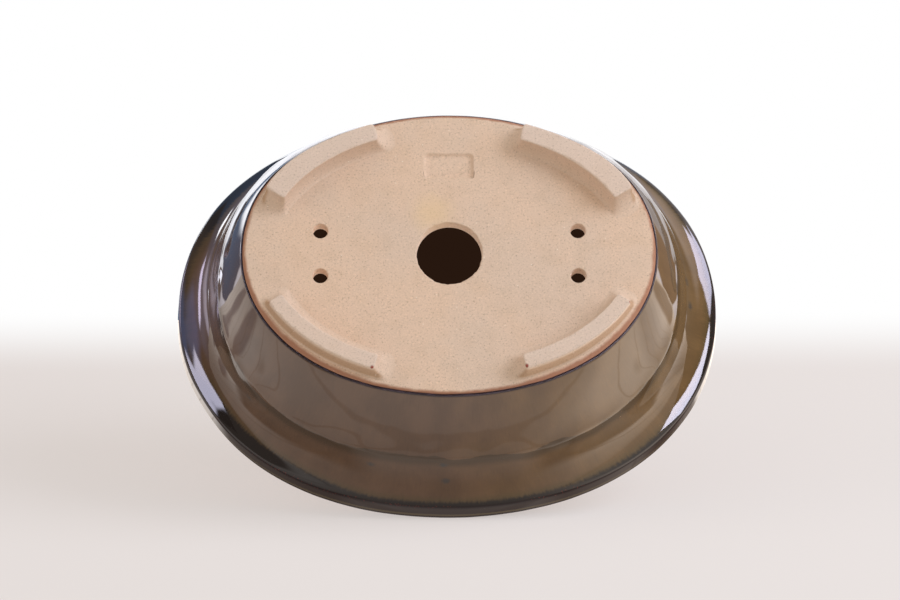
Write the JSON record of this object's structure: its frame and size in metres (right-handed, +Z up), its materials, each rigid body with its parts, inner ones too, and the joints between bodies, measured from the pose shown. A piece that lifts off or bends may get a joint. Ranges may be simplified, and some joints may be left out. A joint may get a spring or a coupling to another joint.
{
  "type": "oval bonsai pot",
  "caption": "Shallow oval bonsai pot with a flared, banded lip, arc feet, a drain hole and wire holes, glazed outside and bare clay below and inside.",
  "frame": {"origin": "on the ground plane that the soles stand on, midway between the feet", "axes": "+X along the pot's long side, +Y across it towards the back, +Z up out of the mouth"},
  "size_m": [0.2144, 0.1648, 0.087],
  "materials": {
    "bare_clay": "unglazed speckled buff stoneware",
    "worn_clay": "unglazed stoneware, rubbed paler on the soles",
    "glaze": "glossy olive-brown glaze that breaks dark at the lip's corner"
  },
  "bodies": {
    "root": {"floor_slab": "bare_clay", "wall": "glaze", "lip": "glaze", "foot_front_left": "worn_clay", "foot_front_right": "worn_clay", "foot_back_left": "worn_clay", "foot_back_right": "worn_clay"}
  },
  "joints": []
}
